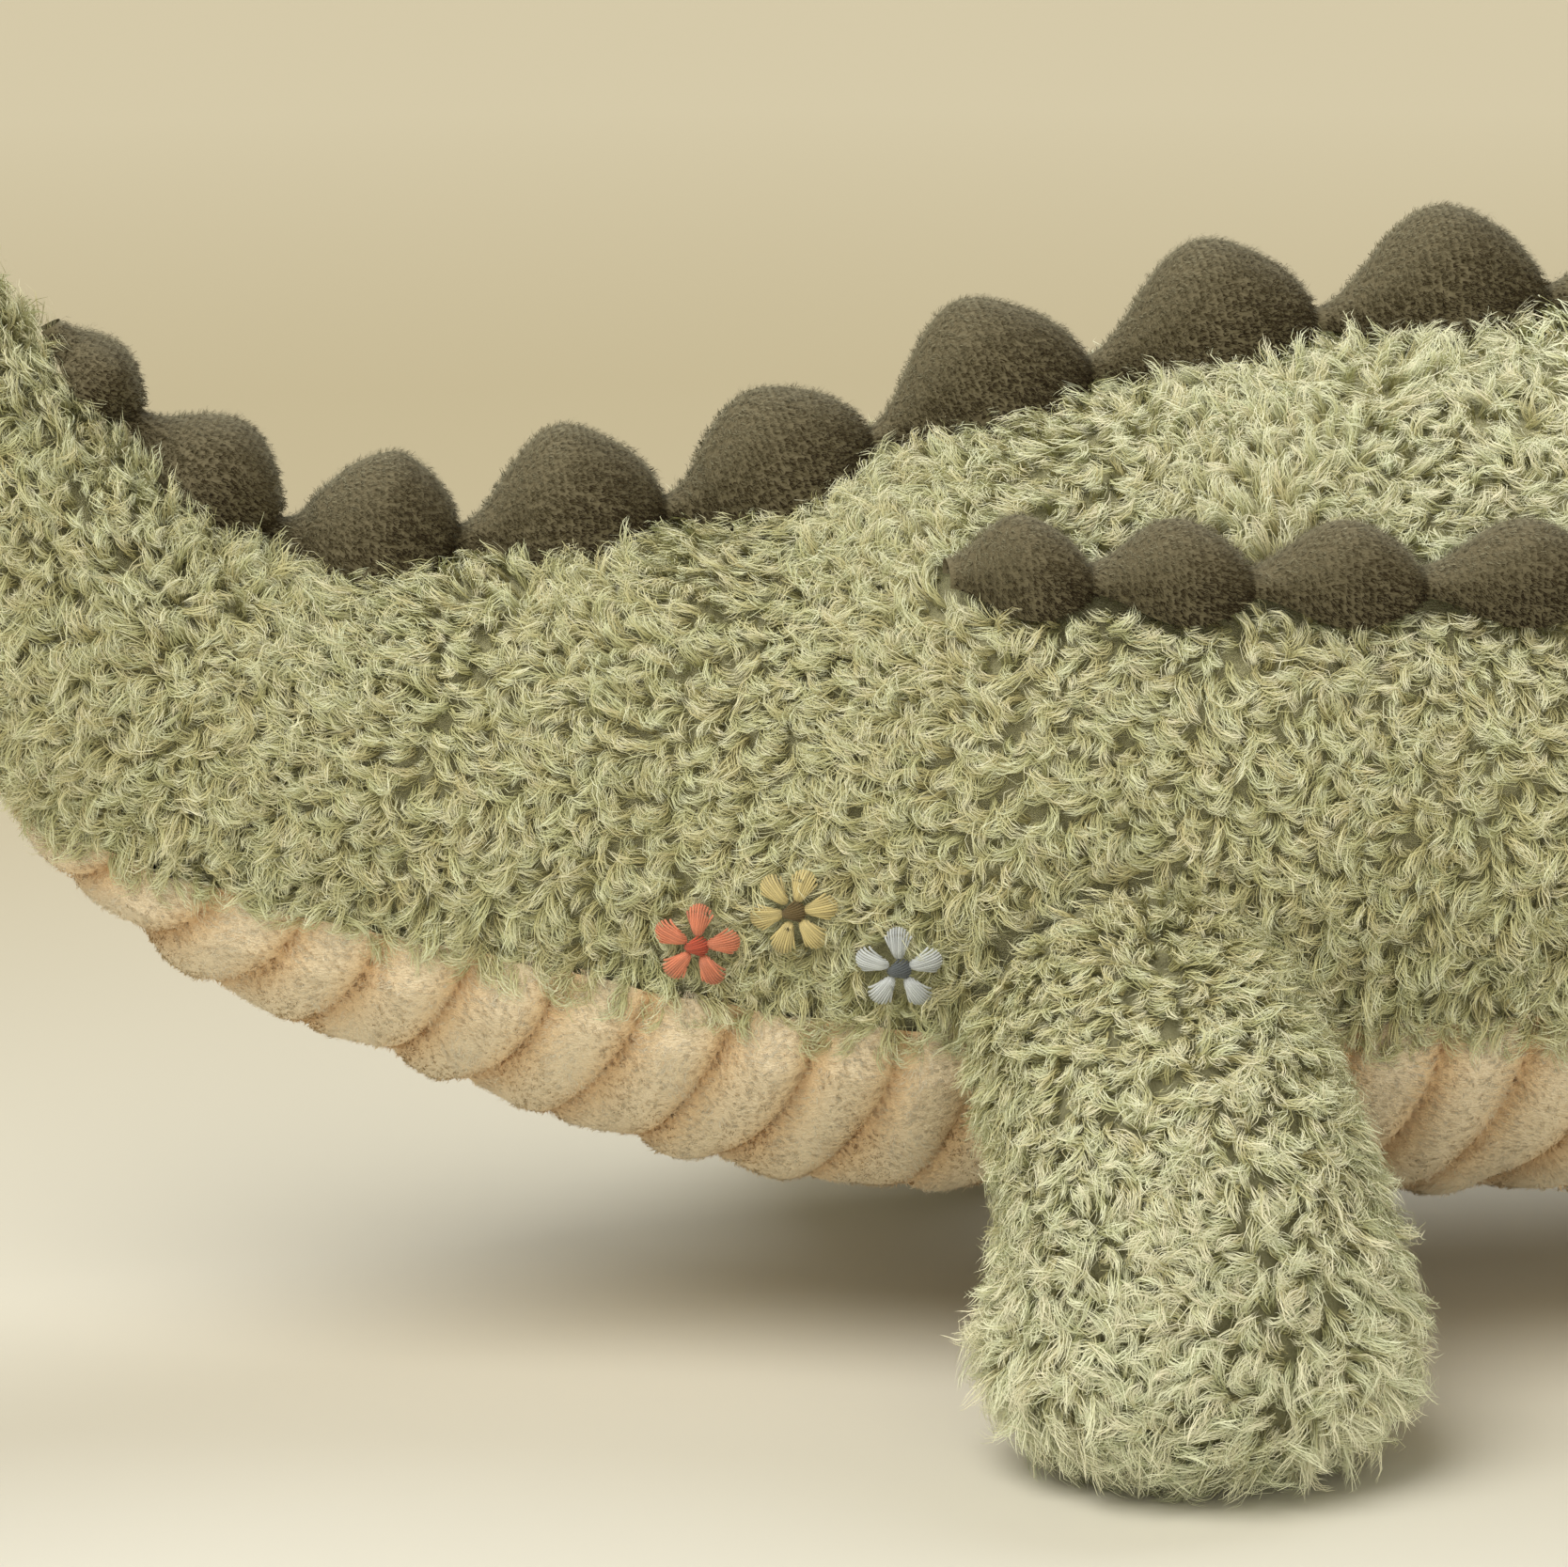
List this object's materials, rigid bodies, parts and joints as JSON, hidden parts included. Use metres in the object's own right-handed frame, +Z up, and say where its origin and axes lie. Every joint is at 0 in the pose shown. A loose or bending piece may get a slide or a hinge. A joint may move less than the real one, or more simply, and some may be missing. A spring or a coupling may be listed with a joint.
{
  "type": "plush crocodile",
  "caption": "Stuffed crocodile in curly green pile cloth with a ribbed cream belly, padded brown scutes, sewn-on legs that flex and a head and tail that sway.",
  "frame": {"origin": "on the floor, under the middle of the toy, half way between tail and snout", "axes": "+X from tail to snout, +Y to the toy's left, +Z up from the floor"},
  "size_m": [0.4596, 0.172, 0.1595],
  "materials": {
    "curly_pile": "curly sherpa pile, matte",
    "ribbed_velvet": "wide-ribbed velvet, soft sheen",
    "short_pile": "short brushed pile, soft sheen",
    "fibre_filling": "loose white polyester fibre",
    "coral_thread": "satin-stitched thread",
    "straw_thread": "satin-stitched thread",
    "pale_thread": "satin-stitched thread",
    "dark_thread": "satin-stitched thread",
    "eye_plastic": "polished",
    "washer_plastic": "moulded"
  },
  "bodies": {
    "torso": {"torso_skin": "curly_pile", "torso_belly_panel": "ribbed_velvet", "torso_filling": "fibre_filling", "scute_strip_back": "short_pile", "side_scutes_right": "short_pile", "side_scutes_left": "short_pile", "flower_coral": "coral_thread", "flower_straw": "straw_thread", "flower_pale": "pale_thread"},
    "tail": {"tail_skin": "curly_pile", "tail_belly_panel": "ribbed_velvet", "tail_filling": "fibre_filling", "scute_strip_tail": "short_pile"},
    "head": {"head_skin": "curly_pile", "head_throat_panel": "ribbed_velvet", "head_filling": "fibre_filling", "scute_strip_neck": "short_pile", "eye_mound_right": "curly_pile", "eye_right": "eye_plastic", "eye_washer_right": "washer_plastic", "eye_mound_left": "curly_pile", "eye_left": "eye_plastic", "eye_washer_left": "washer_plastic", "nostril_right": "dark_thread", "nostril_left": "dark_thread"},
    "leg_hind_right": {"leg_hind_right_skin": "curly_pile", "leg_hind_right_filling": "fibre_filling"},
    "leg_hind_left": {"leg_hind_left_skin": "curly_pile", "leg_hind_left_filling": "fibre_filling"},
    "leg_front_right": {"leg_front_right_skin": "curly_pile", "leg_front_right_filling": "fibre_filling"},
    "leg_front_left": {"leg_front_left_skin": "curly_pile", "leg_front_left_filling": "fibre_filling"}
  },
  "joints": [
    {"name": "tail_sway", "type": "hinge", "parent": "torso", "child": "tail", "pos_m": [-0.14765, 0, 0.06074], "axis": [0, 0, 1], "range_deg": [-15, 15], "stiffness_Nm_per_rad": 0.3},
    {"name": "head_sway", "type": "hinge", "parent": "torso", "child": "head", "pos_m": [0.10144, 0, 0.05887], "axis": [0, 0, 1], "range_deg": [-15, 15], "stiffness_Nm_per_rad": 0.3},
    {"name": "leg_hind_right_swing", "type": "hinge", "parent": "torso", "child": "leg_hind_right", "pos_m": [-0.0778, -0.04199, 0.04415], "axis": [0.046, -0.9167, -0.3968], "range_deg": [-20, 20], "stiffness_Nm_per_rad": 0.5},
    {"name": "leg_hind_left_swing", "type": "hinge", "parent": "torso", "child": "leg_hind_left", "pos_m": [-0.0778, 0.04199, 0.04415], "axis": [0.046, 0.9167, -0.3968], "range_deg": [-20, 20], "stiffness_Nm_per_rad": 0.5},
    {"name": "leg_front_right_swing", "type": "hinge", "parent": "torso", "child": "leg_front_right", "pos_m": [0.05801, -0.04239, 0.04499], "axis": [-0.021, -0.9197, -0.3922], "range_deg": [-20, 20], "stiffness_Nm_per_rad": 0.5},
    {"name": "leg_front_left_swing", "type": "hinge", "parent": "torso", "child": "leg_front_left", "pos_m": [0.05801, 0.04239, 0.04499], "axis": [-0.021, 0.9197, -0.3922], "range_deg": [-20, 20], "stiffness_Nm_per_rad": 0.5}
  ]
}
